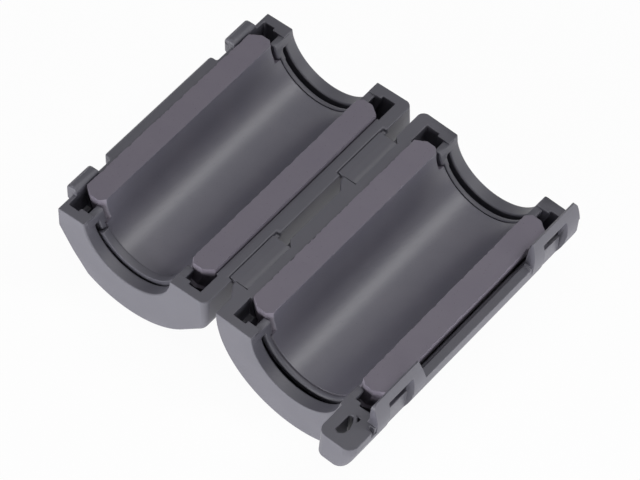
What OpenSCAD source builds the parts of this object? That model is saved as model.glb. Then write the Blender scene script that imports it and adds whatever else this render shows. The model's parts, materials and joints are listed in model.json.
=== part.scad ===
// Clip-on ferrite bead: a two-part ferrite sleeve in a hinged plastic case that latches shut.
// It lies open on its two round backs. The bore runs along Y and the hinge axis is parallel to it.
// Each half is drawn in its own flat frame: u runs outwards from the hinge axis, y along the bore,
// and w is the height above the rim. The latch half lies on the +X side, the catch half on the -X side.
// The rims meet when the case is shut, and the two cores are then pressed back flush with them.

/* [Ferrite] */
// Diameter of the cable bore when the two half cores are shut
bore_d = 13; // [12.5:0.1:13.5]
// Wall thickness of the ferrite sleeve
core_wall = 3.2; // [3:0.05:3.2]
// Length of the half cores
core_l = 31.8; // [31.2:0.1:32]
// How far the cores' ends are cut back beside their split faces
core_cut = 0.4; // [0.3:0.05:0.5]
// Height of the cores' split faces above the rims while the case is open
core_proud = 0.6; // [0.5:0.05:0.6]
// Chamfer of the bore in those cuts
bore_cham = 0.65; // [0.4:0.05:0.8]
// Radial size of the chamfer round the cores' outer end corners
end_cham_r = 1.25; // [0.8:0.05:1.4]
// Lengthwise size of the same chamfer
end_cham_l = 0.85; // [0.5:0.05:1]

/* [Case] */
// Length of the case along the bore
case_l = 38; // [37.5:0.25:39]
// Outside radius of the round backs
case_r = 11.8; // [11.7:0.05:11.9]
// Distance from the hinge axis to the centre of the bore
core_u = 12.5; // [12.5:0.05:12.6]
// Thickness of the end walls
end_t = 1.25; // [1.1:0.05:1.5]
// Thickness of the lip round each end opening
lip_t = 1.7; // [1.6:0.05:2]
// Half the distance between the two corner wells of an end wall
land_w = 8.3; // [8:0.1:8.5]
// Clearance between the ferrite and the case
core_clear = 0.1; // [0.05:0.01:0.15]
// How far each half leans outwards as it lies, in degrees
lean = 2.35; // [0:0.05:4]

/* [Catch half] */
// Distance from the hinge axis to the flat outer wall
catch_wall_u = 22.9; // [22.8:0.05:22.9]
// Height of that flat wall below the rim
catch_wall_h = 3.5; // [3:0.1:4]
// Height of the upright part of the hinge-side wall
square_h = 3.4; // [3:0.1:4]
// Radius below that upright part
square_r = 3; // [2.5:0.1:3.5]
// Length of each catch
catch_l = 4.1; // [3.8:0.1:4.1]
// Distance from the end of the case to the catch
catch_y = 2.72; // [2.7:0.02:2.8]
// Height of the catches above the rim
catch_top = 0.9; // [0.7:0.05:1]
// Depth of the catches below the rim, down to the face that hooks under the latch arm's bar
catch_hook = 1.85; // [1.7:0.05:1.85]
// How far the catches stand out of the outer wall
catch_out = 1.12; // [1:0.02:1.15]
// Half the length of the rib between the catches
rib_half_l = 9.65; // [9:0.05:9.7]
// Depth of the rib below the rim
rib_h = 2.1; // [1.8:0.1:2.2]

/* [Latch half] */
// Distance from the hinge axis to the outer wall between the arms
latch_wall_u = 24.05; // [24:0.01:24.1]
// Height of the latch arms above the rim
arm_h = 3.3; // [3.2:0.05:3.5]
// Distance from the end of the case to the inner foot of a latch arm
arm_l = 9.05; // [8.8:0.05:9.2]
// Distance from the end of the case to the outer end of a latch arm
arm_inset = 0.3; // [0.2:0.05:0.5]
// Distance from the end of the case to the arm's window
window_y = 2.6; // [2.5:0.05:2.65]
// Length of the arm's window
window_l = 4.35; // [4.3:0.05:4.5]
// Height of the bar over the window
bar_h = 1.35; // [1.2:0.05:1.4]
// Depth of the relief beside the core, below the rim
relief_h = 1.3; // [1:0.1:1.5]
// Length of the corner lug beyond the end wall
lug_l = 4.4; // [4:0.1:5]
// Width of the corner lug
lug_w = 4.9; // [4.7:0.1:5]
// Height of the corner lug
lug_h = 4.4; // [4:0.1:5]

/* [Hinge] */
// Length of each hinge strap along the bore
strap_l = 7.8; // [7:0.1:8]
// Distance from the middle of the case to the near end of the rear strap
strap_y = 5.45; // [5:0.05:6]
// Distance from the middle of the case to the near end of the front strap
strap_front_y = 6.35; // [6:0.05:7]
// Thickness of the hinge straps
strap_t = 0.55; // [0.4:0.05:0.6]
// How far the straps reach into the catch half's wall
strap_in_catch = 0.53; // [0.4:0.01:0.6]
// How far the straps reach into the latch half's wall
strap_in_latch = 0.77; // [0.6:0.01:0.8]

/* [Hidden] */
$fn = 96;

bore_r = bore_d / 2;
core_r = bore_r + core_wall;
core_half = core_l / 2;
cut_half = core_half - core_cut;
cut_angle = 26;
case_half = case_l / 2;
cavity_r = core_r + core_clear;
cavity_half = case_half - end_t;
hinge_edge_u = core_u - sqrt(pow(case_r, 2) - pow(core_proud, 2));
far = 40;

// Circle that shapes the outside of the latch arms
arm_u = 17;
arm_w = -0.3;
arm_r = 7.2;
arm_corner_r = 0.5;
arm_slope = 0.6;
arm_clear = 0.03;
arm_lead_in = 0.25;
window_wall_t = 0.25;
mid_wall_drop = 0.2;

// Outer wall of the catch half, the rounding of its catches, and its rib
catch_wall_t = 0.56;
catch_round = 0.75;
catch_end_round = 0.5;
rib_out = 1.1;

// Corner wells at both ends of each half
well_depth = 3.4;
hinge_wall_t = 1.7;

// Necks and rings that hold the ferrite at its ends
tongue_in = bore_r - 0.05;
tongue_out = bore_r + 0.9;
tongue_gap = 0.06;
ring_t = 0.7;
neck_from = 7;
neck_to = 17;

// Lug, its rounded corners and its cable-tie hole, measured from the lug's inner front corner
lug_u = core_u + 6.75;
lug_corner_r = 1.2;
notch_u = catch_wall_u + 0.45;
notch_depth = 1;
notch_l = 0.45;
tie_hole = [[1.4, 1.6], [1.9, 1.35], [2.45, 1.7], [2.7, 2.45], [2.4, 3.4], [2, 4.1], [1.45, 4]];
small_hole = [[2.25, 4.48], [2.85, 4.4], [2.75, 3.8]];

// Strap details
gusset_l = 1.96;
gusset_reach = 0.49;
gusset_u = -0.31;
strap_relief = 0.8;

// How the flat frames are placed: the hinge axis lies at u = 0 and w = 0
axis_h = case_r + core_u * sin(lean) - core_proud * cos(lean);
function tilted_x(u, w) = u * cos(lean) + w * sin(lean);
x_max = tilted_x(arm_u, arm_w) + arm_r;
x_min = -(tilted_x(catch_wall_u + catch_out - catch_round, catch_top - catch_round) + catch_round);
mid_x = (x_max + x_min) / 2;
mid_y = -lug_l / 2;

// Places a shape drawn in the latch half's flat frame
module in_latch_half() {
    translate([-mid_x, -mid_y, axis_h])
        rotate([0, lean, 0])
            children();
}

// Places a shape drawn in the catch half's flat frame
module in_catch_half() {
    translate([-mid_x, -mid_y, axis_h])
        mirror([1, 0, 0])
            rotate([0, lean, 0])
                children();
}

// A (u, w) outline drawn out along y
module along_y(y0, y1) {
    translate([0, y1, 0])
        rotate([90, 0, 0])
            linear_extrude(y1 - y0)
                children();
}

module block(u0, u1, y0, y1, w0, w1) {
    translate([u0, y0, w0])
        cube([u1 - u0, y1 - y0, w1 - w0]);
}

// An outline of (radius, length) turned about the bore
module turned() {
    translate([core_u, 0, core_proud])
        rotate([-90, 0, 0])
            rotate_extrude()
                children();
}

module bore_hole(r, half_l) {
    turned()
        translate([0, -half_l])
            square([r, 2 * half_l]);
}

// Same shape at both ends of the case
module both_ends() {
    for (end = [0, 1])
        mirror([0, end, 0])
            children();
}

module back_circle() {
    translate([core_u, core_proud])
        circle(case_r);
}

// Outline of the latch half: the round back with a narrow flat on its outer side
module latch_outline() {
    intersection() {
        back_circle();
        translate([0, -far])
            square([latch_wall_u, far]);
    }
}

// The two circles of the catch half's outline are joined along their common tangent, a hair inside it
joining = 0.02;
square_c = [hinge_edge_u + square_r, -square_h];
joined = square_c - [core_u, core_proud];
tangent_a = atan2(joined[1], joined[0]) + acos((case_r - square_r) / norm(joined));

function on_circle(c, r, a) = c + r * [cos(a), sin(a)];

// Outline of the catch half: squarer on the hinge side, cut flat on the outer side
module catch_outline() {
    intersection() {
        union() {
            back_circle();
            translate(square_c)
                circle(square_r);
            translate([hinge_edge_u, -square_h])
                square([core_u, square_h]);
            polygon([
                square_c,
                on_circle(square_c, square_r - joining, tangent_a),
                on_circle([core_u, core_proud], case_r - joining, tangent_a),
                [core_u, core_proud]
            ]);
        }
        polygon([
            [0, 0],
            [catch_wall_u, 0],
            [catch_wall_u, -catch_wall_h],
            [catch_wall_u - 1.8, -catch_wall_h - 3],
            [catch_wall_u - 3.9, -catch_wall_h - 5.7],
            [catch_wall_u - 9, -far],
            [0, -far]
        ]);
    }
}

// Room for the ferrite when pressed back, the end openings and the corner wells
module case_room(outer_well_u) {
    translate([0, 0, -core_proud])
        bore_hole(cavity_r, cavity_half);
    bore_hole(bore_r, case_l);
    both_ends() {
        block(hinge_edge_u + hinge_wall_t, core_u - land_w, cut_half - end_cham_l, cavity_half, -well_depth, 1);
        block(core_u + land_w, outer_well_u, cut_half - end_cham_l, cavity_half, -well_depth, 1);
    }
}

// Thicker lip round each end opening, and the tongues that hold the ferrite
module lips_and_tongues() {
    intersection() {
        both_ends() {
            turned()
                translate([bore_r, case_half - lip_t])
                    square([land_w - bore_r, lip_t - end_t / 2]);
            for (side = [-1, 1])
                tongue(side);
        }
        block(0, far, -far, far, -far, 0);
    }
}

// A neck leaves the end wall below the rim, fills the core's cut and carries a ring round its end
module tongue(side) {
    intersection() {
        turned()
            translate([tongue_in, cut_half + tongue_gap])
                square([tongue_out - tongue_in, cavity_half + end_t / 2 - cut_half - tongue_gap]);
        sector(side, neck_from, neck_to);
    }
    intersection() {
        turned()
            translate([tongue_in, cut_half + tongue_gap])
                square([tongue_out - tongue_in, core_cut + ring_t]);
        sector(side, neck_from, cut_angle - 1);
    }
    intersection() {
        turned()
            translate([tongue_in, core_half + tongue_gap])
                square([tongue_out - tongue_in, ring_t]);
        sector(side, neck_from, 92);
    }
}

// Sector between two angles below the split plane, on one side of the bore
module sector(side, from, to) {
    along_y(0, case_half)
        polygon([
            [core_u, core_proud],
            [core_u + side * far * cos(from), core_proud - far * sin(from)],
            [core_u + side * far * cos(to), core_proud - far * sin(to)]
        ]);
}

// Ends of the straps along y: front strap, then rear strap
strap_y0 = [-strap_front_y - strap_l, strap_y];

module catch_half_case() {
    color("dimgray")
        in_catch_half() {
            difference() {
                along_y(-case_half, case_half)
                    catch_outline();
                case_room(catch_wall_u - catch_wall_t);
                for (y0 = strap_y0)
                    block(0, hinge_edge_u + strap_in_catch, y0, y0 + strap_l + strap_relief, -strap_t, 1);
            }
            lips_and_tongues();
            block(catch_wall_u - catch_wall_t / 2, catch_wall_u + rib_out, -rib_half_l, rib_half_l, -rib_h, 0);
            both_ends()
                catch_block();
        }
}

// Rectangle with its two upper corners rounded
module round_top(x0, x1, y0, y1, r) {
    translate([x0, y0])
        square([x1 - x0, y1 - y0 - r]);
    translate([x0 + r, y1 - 2 * r])
        square([x1 - x0 - 2 * r, 2 * r]);
    for (x = [x0 + r, x1 - r])
        translate([x, y1 - r])
            circle(r);
}

// One catch, on the outer wall near an end of the case: it hooks under the bar of a latch arm
module catch_block() {
    y1 = case_half - catch_y;
    intersection() {
        along_y(y1 - catch_l, y1)
            round_top(catch_wall_u - catch_wall_t, catch_wall_u + catch_out, -catch_hook, catch_top, catch_round);
        rotate([90, 0, 90])
            linear_extrude(far)
                round_top(y1 - catch_l, y1, -catch_hook, catch_top, catch_end_round);
    }
}

module latch_half_case() {
    color("dimgray")
        in_latch_half() {
            difference() {
                along_y(-case_half, case_half)
                    latch_outline();
                case_room(latch_wall_u - rib_out);
                block(core_u + cavity_r - 1, latch_wall_u - rib_out, -cavity_half, cavity_half, -relief_h, 1);
                block(latch_wall_u - rib_out - 1, far, -rib_half_l, rib_half_l, -mid_wall_drop, 1);
                both_ends() {
                    window_groove();
                    window_foot();
                }
                for (y0 = strap_y0) {
                    block(0, hinge_edge_u + strap_in_latch, y0, y0 + strap_l, -strap_t, 1);
                    strap_corner_relief(y0 + strap_l);
                }
            }
            lips_and_tongues();
            both_ends()
                latch_arm();
            corner_lug();
            for (y0 = strap_y0)
                gusset(y0);
        }
}

// Triangular relief in the latch half's rim behind a strap
module strap_corner_relief(y) {
    translate([0, 0, -strap_t])
        linear_extrude(1)
            polygon([
                [hinge_edge_u - 1, y - 1],
                [hinge_edge_u + strap_in_latch, y - 1],
                [hinge_edge_u + strap_in_latch, y],
                [hinge_edge_u, y + strap_relief],
                [hinge_edge_u - 1, y + strap_relief]
            ]);
}

// Triangular web in front of a strap
module gusset(y) {
    translate([0, 0, -strap_t])
        linear_extrude(strap_t)
            polygon([
                [hinge_edge_u + 0.4, y - gusset_l],
                [hinge_edge_u, y - gusset_l],
                [gusset_u, y - gusset_reach],
                [gusset_u, y],
                [hinge_edge_u + 0.4, y]
            ]);
}

// Outline of a latch arm in (u, w): round outside, flat inside, with a lead-in for the catch at its top
module arm_outline() {
    inner = catch_wall_u + arm_clear;
    intersection() {
        translate([arm_u, arm_w])
            circle(arm_r);
        polygon([
            [inner, -relief_h],
            [far, -relief_h],
            [far, arm_h],
            [inner + arm_lead_in, arm_h],
            [inner, arm_h - arm_lead_in]
        ]);
    }
}

// Outline of a latch arm in (y, w), with its outer corner rounded and its inner end sloping
module arm_side() {
    foot = case_half - arm_l;
    tip = case_half - arm_inset;
    difference() {
        polygon([
            [foot, -relief_h],
            [foot, 0],
            [foot + arm_slope, arm_h],
            [tip, arm_h],
            [tip, -relief_h]
        ]);
        translate([tip - arm_corner_r, arm_h - arm_corner_r])
            difference() {
                square(2 * arm_corner_r);
                circle(arm_corner_r);
            }
        translate([case_half - window_y - window_l, -relief_h - 1])
            square([window_l, relief_h + 1 + arm_h - bar_h]);
    }
}

module latch_arm() {
    intersection() {
        along_y(0, case_half)
            arm_outline();
        rotate([90, 0, 90])
            linear_extrude(far)
                arm_side();
    }
}

// Groove below a window, open downwards where it runs out of the round back
module window_groove() {
    y1 = case_half - window_y;
    block(catch_wall_u + window_wall_t, far, y1 - window_l, y1, -far, 1);
}

// The window goes right through the wall down to the relief beside the core
module window_foot() {
    y1 = case_half - window_y;
    block(core_u + cavity_r - 1, far, y1 - window_l, y1, -relief_h, 1);
}

// Corner lug at the front end of the latch half, with its cable-tie hole
module corner_lug() {
    y0 = -case_half - lug_l;
    difference() {
        intersection() {
            translate([lug_u, y0, -lug_h])
                linear_extrude(lug_h)
                    lug_plan();
            along_y(y0, -case_half + 1)
                back_circle();
        }
        block(notch_u, far, -case_half - notch_l, -case_half + arm_inset, -notch_depth, 1);
        for (hole = [tie_hole, small_hole])
            translate([lug_u, y0, -lug_h - 1])
                linear_extrude(lug_h + 2)
                    polygon(hole);
    }
}

// Plan of the lug: a block with two rounded outer corners, let into the end wall
module lug_plan() {
    translate([0, lug_corner_r])
        square([lug_w, lug_l - lug_corner_r + end_t / 2]);
    translate([lug_corner_r, 0])
        square([lug_w - 2 * lug_corner_r, 2 * lug_corner_r]);
    for (u = [lug_corner_r, lug_w - lug_corner_r])
        translate([u, lug_corner_r])
            circle(lug_corner_r);
}

// Half core: a sleeve with chamfered ends, cut through its axis and cut back at the four corners
module half_core() {
    difference() {
        turned()
            polygon([
                [bore_r, -core_half],
                [core_r - end_cham_r, -core_half],
                [core_r, -core_half + end_cham_l],
                [core_r, core_half - end_cham_l],
                [core_r - end_cham_r, core_half],
                [bore_r, core_half]
            ]);
        block(0, far, -far, far, core_proud, far);
        both_ends()
            for (side = [-1, 1])
                end_cut(side);
    }
}

// Cut beside a split face, with a chamfer at the bore
module end_cut(side) {
    intersection() {
        turned()
            polygon([
                [bore_r - 1, cut_half - bore_cham - 1],
                [bore_r + bore_cham, cut_half],
                [core_r - end_cham_r, cut_half],
                [core_r, cut_half - end_cham_l],
                [core_r + end_cham_r, cut_half - 2 * end_cham_l],
                [core_r + end_cham_r, core_half + 1],
                [bore_r - 1, core_half + 1]
            ]);
        sector(side, -5, cut_angle);
    }
}

module ferrite_latch_half() {
    color("slategray")
        in_latch_half()
            half_core();
}

module ferrite_catch_half() {
    color("slategray")
        in_catch_half()
            half_core();
}

// A strap is a thin slab, flush with both rims and let into both hinge-side walls
module hinge_strap(y0) {
    in_latch_half()
        block(0, hinge_edge_u + strap_in_latch, y0, y0 + strap_l, -strap_t, 0);
    in_catch_half()
        block(0, hinge_edge_u + strap_in_catch, y0, y0 + strap_l, -strap_t, 0);
}

module hinge_strap_front() {
    color("gray")
        hinge_strap(strap_y0[0]);
}

module hinge_strap_rear() {
    color("gray")
        hinge_strap(strap_y0[1]);
}

latch_half_case();
catch_half_case();
ferrite_latch_half();
ferrite_catch_half();
hinge_strap_front();
hinge_strap_rear();
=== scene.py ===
"""The looks of a clip-on ferrite bead: a hinged plastic case with two ground ferrite half sleeves.

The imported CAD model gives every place. The two case halves are softened copies of their CAD solids,
the half sleeves are swept by a geometry tree, and the hinge straps bend between the two halves.
"""

import json
import logging
import math
from dataclasses import dataclass, field, fields
from enum import Enum
from typing import Any

import bmesh
import bpy
from mathutils import Matrix, Vector
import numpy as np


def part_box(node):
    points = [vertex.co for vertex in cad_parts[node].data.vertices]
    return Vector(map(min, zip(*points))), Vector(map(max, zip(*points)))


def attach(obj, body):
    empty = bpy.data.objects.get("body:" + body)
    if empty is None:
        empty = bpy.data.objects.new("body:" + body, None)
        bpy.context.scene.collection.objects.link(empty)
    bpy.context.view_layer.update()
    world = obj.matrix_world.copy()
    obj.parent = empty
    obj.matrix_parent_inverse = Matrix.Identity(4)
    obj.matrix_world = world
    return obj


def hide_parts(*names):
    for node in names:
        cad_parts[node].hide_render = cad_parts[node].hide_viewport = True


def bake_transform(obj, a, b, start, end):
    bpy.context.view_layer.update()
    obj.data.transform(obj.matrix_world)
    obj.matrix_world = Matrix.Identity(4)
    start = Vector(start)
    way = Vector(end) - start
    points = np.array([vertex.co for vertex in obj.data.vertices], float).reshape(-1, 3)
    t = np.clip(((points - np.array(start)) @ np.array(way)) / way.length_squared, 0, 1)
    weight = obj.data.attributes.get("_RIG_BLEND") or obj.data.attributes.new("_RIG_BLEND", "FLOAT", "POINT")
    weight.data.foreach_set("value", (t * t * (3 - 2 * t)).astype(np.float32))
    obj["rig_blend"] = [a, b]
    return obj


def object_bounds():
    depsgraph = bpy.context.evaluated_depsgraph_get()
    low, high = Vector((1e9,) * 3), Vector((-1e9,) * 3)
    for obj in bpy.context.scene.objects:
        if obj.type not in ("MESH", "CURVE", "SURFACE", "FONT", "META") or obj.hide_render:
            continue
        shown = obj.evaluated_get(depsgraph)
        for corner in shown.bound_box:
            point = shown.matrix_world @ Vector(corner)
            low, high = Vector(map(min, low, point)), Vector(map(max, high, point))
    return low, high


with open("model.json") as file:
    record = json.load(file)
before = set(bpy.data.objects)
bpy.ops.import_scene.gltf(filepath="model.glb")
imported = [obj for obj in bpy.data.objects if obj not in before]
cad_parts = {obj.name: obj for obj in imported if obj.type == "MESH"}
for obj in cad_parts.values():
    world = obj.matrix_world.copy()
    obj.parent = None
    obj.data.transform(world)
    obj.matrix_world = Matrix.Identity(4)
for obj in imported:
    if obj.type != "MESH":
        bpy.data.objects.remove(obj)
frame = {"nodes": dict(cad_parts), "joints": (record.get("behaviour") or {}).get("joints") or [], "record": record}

MM = 0.001
CAD_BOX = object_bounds()
CLOSE = 0.01 * MM  # places nearer than this count as level with each other
JOINTS = {joint["name"]: joint for joint in frame["joints"]}
MOUNTS = {mount["name"]: mount for mount in frame["record"]["mounts"]}
STRAPS = ("front", "rear")

log = logging.getLogger("ferrite_bead")


class Slot(Enum):
    """The record's material slots."""

    CASE = "case_plastic"
    FERRITE = "ferrite"


class Side(Enum):
    """Which half of the case: the sign is the way that its u axis points along X."""

    LATCH = 1
    CATCH = -1

    @property
    def label(self) -> str:
        """The half's name as the CAD model writes it."""
        return self.name.lower()


# ---------------------------------------------------------------- node trees


class Value:
    """A number socket that takes part in Python expressions."""

    def __init__(self, graph: "Graph", socket: bpy.types.NodeSocket) -> None:
        """Wraps a socket.

        Args:
            graph: The graph that the socket's node is in.
            socket: An output socket that carries a number.
        """
        self.graph = graph
        self.socket = socket

    def __add__(self, other: Any) -> "Value":
        """Sum of two values."""
        return self.graph.math("ADD", self, other)

    __radd__ = __add__

    def __sub__(self, other: Any) -> "Value":
        """Difference of two values."""
        return self.graph.math("SUBTRACT", self, other)

    def __rsub__(self, other: Any) -> "Value":
        """Difference, with the plain number first."""
        return self.graph.math("SUBTRACT", other, self)

    def __mul__(self, other: Any) -> "Value":
        """Product of two values."""
        return self.graph.math("MULTIPLY", self, other)

    __rmul__ = __mul__

    def __truediv__(self, other: Any) -> "Value":
        """Quotient of two values."""
        return self.graph.math("DIVIDE", self, other)

    def __rtruediv__(self, other: Any) -> "Value":
        """Quotient, with the plain number first."""
        return self.graph.math("DIVIDE", other, self)

    def __neg__(self) -> "Value":
        """The value with its sign turned."""
        return self.graph.math("MULTIPLY", self, -1.0)

    def __abs__(self) -> "Value":
        """The value without its sign."""
        return self.graph.math("ABSOLUTE", self)

    def sine(self) -> "Value":
        """Sine of an angle in radians."""
        return self.graph.math("SINE", self)

    def cosine(self) -> "Value":
        """Cosine of an angle in radians."""
        return self.graph.math("COSINE", self)

    def root(self) -> "Value":
        """Square root of the value."""
        return self.graph.math("SQRT", self)

    def at_least(self, other: Any) -> "Value":
        """The larger of two values."""
        return self.graph.math("MAXIMUM", self, other)

    def at_most(self, other: Any) -> "Value":
        """The smaller of two values."""
        return self.graph.math("MINIMUM", self, other)

    def ramp(self, low: float, high: float) -> "Value":
        """A smooth step from 0 at low to 1 at high.

        Args:
            low: The value that gives 0.
            high: The value that gives 1.

        Returns:
            The stepped value, from 0 to 1.
        """
        node = self.graph.node(
            "ShaderNodeMapRange",
            {"interpolation_type": "SMOOTHSTEP"},
            {"Value": self, "From Min": low, "From Max": high},
        )
        return Value(self.graph, node.outputs["Result"])


class Graph:
    """A node tree that is filled by short calls."""

    def __init__(self, tree: bpy.types.NodeTree) -> None:
        """Takes an empty tree.

        Args:
            tree: The node tree to fill.
        """
        self.tree = tree

    def node(
        self,
        kind: str,
        settings: dict[str, Any] | None = None,
        inputs: dict[str | int, Any] | None = None,
    ) -> bpy.types.Node:
        """Adds a node, makes its settings, then fills its sockets.

        Args:
            kind: The node's type name.
            settings: Attributes of the node, set before its sockets are used.
            inputs: A value, socket, node or Value for each named or numbered input.

        Returns:
            The new node.
        """
        node = self.tree.nodes.new(kind)
        for name, value in (settings or {}).items():
            setattr(node, name, value)
        for key, value in (inputs or {}).items():
            self.feed(node.inputs[key], value)
        return node

    def feed(self, socket: bpy.types.NodeSocket, value: Any) -> None:
        """Links a socket to a value, or sets its default.

        Args:
            socket: The input to fill.
            value: A Value, a node (its first output), a socket, or a plain value.
        """
        if isinstance(value, Value):
            self.tree.links.new(value.socket, socket)
        elif isinstance(value, bpy.types.Node):
            self.tree.links.new(value.outputs[0], socket)
        elif isinstance(value, bpy.types.NodeSocket):
            self.tree.links.new(value, socket)
        else:
            socket.default_value = value

    def math(self, operation: str, *operands: Any) -> Value:
        """Adds one Math node.

        Args:
            operation: The operation's name.
            *operands: Its values or numbers, in order.

        Returns:
            The node's result.
        """
        node = self.node("ShaderNodeMath", {"operation": operation}, dict(enumerate(operands)))
        return Value(self, node.outputs[0])

    def value(self, node: bpy.types.Node, output: str | int = 0) -> Value:
        """One output of a node as a Value."""
        return Value(self, node.outputs[output])

    def noise(self, spot: bpy.types.NodeSocket, size: float, **inputs: float) -> Value:
        """Adds a noise pattern.

        Args:
            spot: The coordinates that it reads.
            size: Size of its largest patches, in metres.
            **inputs: More of the node's inputs, by name.

        Returns:
            The pattern, from 0 to 1.
        """
        given = {"Vector": spot, "Scale": 1 / size, **inputs}
        return self.value(self.node("ShaderNodeTexNoise", None, given))


# ---------------------------------------------------------------- finishes


@dataclass(frozen=True)
class MouldedPlastic:
    """Dark grey moulded nylon with the fine, even texture of a spark-eroded mould.

    Attributes:
        name: The material's name.
        colour: Main colour, linear.
        flow_colour: Colour of the slightly paler flow marks, linear.
        roughness: Mean roughness.
        roughness_spread: How far the roughness wanders either way.
        texture_size: Size of one grain of the texture, in metres.
        texture_depth: Strength of the texture's bump.
        texture_height: Height of the texture, in metres.
        flow_size: Size of the flow marks, in metres.
    """

    name: str = "case_plastic"
    colour: tuple[float, float, float] = (0.058, 0.057, 0.072)
    flow_colour: tuple[float, float, float] = (0.069, 0.067, 0.083)
    roughness: float = 0.5
    roughness_spread: float = 0.05
    texture_size: float = 0.16 * MM
    texture_depth: float = 0.16
    texture_height: float = 0.05 * MM
    flow_size: float = 7 * MM

    def material(self) -> bpy.types.Material:
        """Builds the material.

        Returns:
            The finished material.
        """
        material, graph, shader = new_material(self.name)
        spot = graph.node("ShaderNodeTexCoord").outputs["Object"]
        grain = graph.noise(spot, self.texture_size, Detail=2.0, Roughness=0.6)
        flow = graph.noise(spot, self.flow_size, Detail=3.0, Distortion=0.6)
        share = (flow.ramp(0.35, 0.75) * 0.7 + grain * 0.5).at_most(1.0)
        graph.feed(shader.inputs["Base Color"], mixed(graph, share, self.colour, self.flow_colour))
        spread = (grain - 0.5) * self.roughness_spread * 2 + (flow - 0.5) * self.roughness_spread
        graph.feed(shader.inputs["Roughness"], self.roughness + spread)
        bump = graph.node(
            "ShaderNodeBump",
            None,
            {"Strength": self.texture_depth, "Distance": self.texture_height, "Height": grain},
        )
        graph.feed(shader.inputs["Normal"], bump)
        return material


@dataclass(frozen=True)
class SinteredFerrite:
    """Sintered ferrite: purplish ground faces, a smoother bore, and tiny pores.

    Attributes:
        name: The material's name.
        colour: Colour of the ground faces, linear.
        bore_colour: Colour of the bore, linear.
        worn_colour: Colour of the paler, worn specks, linear.
        pore_colour: Colour in the pores, linear.
        face_roughness: Roughness of the ground faces.
        bore_roughness: Roughness of the bore.
        bore_margin: How far outside the bore's radius its surface starts and ends to fade.
        grain_size: Size of the sintered grain, in metres.
        grain_depth: Strength of the grain's bump.
        grain_height: Height of the grain, in metres.
        cloud_size: Size of the paler clouds, in metres.
        pore_size: Distance between the pores, in metres.
    """

    name: str = "ferrite"
    colour: tuple[float, float, float] = (0.124, 0.111, 0.143)
    bore_colour: tuple[float, float, float] = (0.090, 0.088, 0.112)
    worn_colour: tuple[float, float, float] = (0.21, 0.19, 0.215)
    pore_colour: tuple[float, float, float] = (0.05, 0.045, 0.055)
    face_roughness: float = 0.58
    bore_roughness: float = 0.36
    bore_margin: tuple[float, float] = (0.02 * MM, 0.08 * MM)
    grain_size: float = 0.12 * MM
    grain_depth: float = 0.2
    grain_height: float = 0.04 * MM
    cloud_size: float = 3.5 * MM
    pore_size: float = 0.55 * MM

    def material(self, place: "HalfFrame") -> bpy.types.Material:
        """Builds the material for one half sleeve.

        Args:
            place: The half's frame, which gives the bore, where the smoother surface lies.

        Returns:
            The finished material.
        """
        material, graph, shader = new_material(f"{self.name}_{place.side.label}")
        spot = graph.node("ShaderNodeTexCoord").outputs["Object"]
        split = graph.node("ShaderNodeSeparateXYZ", None, {0: spot})
        across = graph.value(split, "X") - place.bore.x
        above = graph.value(split, "Z") - place.bore.z
        from_axis = (across * across + above * above).root()
        in_bore = 1 - from_axis.ramp(*(place.bore_radius + margin for margin in self.bore_margin))
        grain = graph.noise(spot, self.grain_size, Detail=3.0, Roughness=0.65)
        cloud = graph.noise(spot, self.cloud_size, Detail=4.0)
        cells = graph.node(
            "ShaderNodeTexVoronoi",
            {"feature": "F1"},
            {"Vector": spot, "Scale": 1 / self.pore_size, "Randomness": 1.0},
        )
        pore = 1 - graph.value(cells, "Distance").ramp(0.05, 0.14)
        ground = mixed(graph, in_bore, self.colour, self.bore_colour)
        worn = mixed(graph, cloud.ramp(0.3, 0.8) * 0.10 + grain * 0.10, ground, self.worn_colour)
        graph.feed(shader.inputs["Base Color"], mixed(graph, pore * 0.45, worn, self.pore_colour))
        roughness = self.face_roughness + in_bore * (self.bore_roughness - self.face_roughness)
        graph.feed(shader.inputs["Roughness"], roughness + (grain - 0.5) * 0.12 + pore * 0.1)
        bump = graph.node(
            "ShaderNodeBump",
            None,
            {"Strength": self.grain_depth, "Distance": self.grain_height, "Height": grain - pore * 0.8},
        )
        graph.feed(shader.inputs["Normal"], bump)
        return material


@dataclass(frozen=True)
class PaleFloor:
    """A plain white light table that the camera sees as white, with a trace of the object's shadow.

    Attributes:
        name: The material's name.
        colour: Colour that the lights see, linear.
        glow: Share of plain white in what the camera and reflections see.
        upward: Strength of the light that it throws on the object.
    """

    name: str = "pale_floor"
    colour: tuple[float, float, float] = (0.92, 0.92, 0.93)
    glow: float = 0.95
    upward: float = 3.6

    def material(self) -> bpy.types.Material:
        """Builds the material.

        Returns:
            The finished material.
        """
        material, graph, shader = new_material(self.name)
        graph.feed(shader.inputs["Base Color"], (*self.colour, 1))
        shader.inputs["Roughness"].default_value = 0.9
        white = graph.node("ShaderNodeEmission", None, {"Color": (1, 1, 1, 1), "Strength": 1.0})
        thrown = graph.node("ShaderNodeEmission", None, {"Color": (1, 1, 1, 1), "Strength": self.upward})
        seen = graph.node("ShaderNodeMixShader", None, {0: self.glow, 1: shader, 2: white})
        surface = graph.node("ShaderNodeMixShader", None, {0: seen_directly(graph), 1: thrown, 2: seen})
        output = next(n for n in graph.tree.nodes if n.type == "OUTPUT_MATERIAL")
        graph.feed(output.inputs["Surface"], surface)
        return material


def new_material(name: str) -> tuple[bpy.types.Material, Graph, bpy.types.Node]:
    """Starts a material with a Principled shader.

    Args:
        name: The material's name.

    Returns:
        The material, its graph and its Principled node.
    """
    material = bpy.data.materials.new(name)
    material.use_nodes = True
    graph = Graph(material.node_tree)
    shader = next(n for n in material.node_tree.nodes if n.type == "BSDF_PRINCIPLED")
    return material, graph, shader


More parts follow.
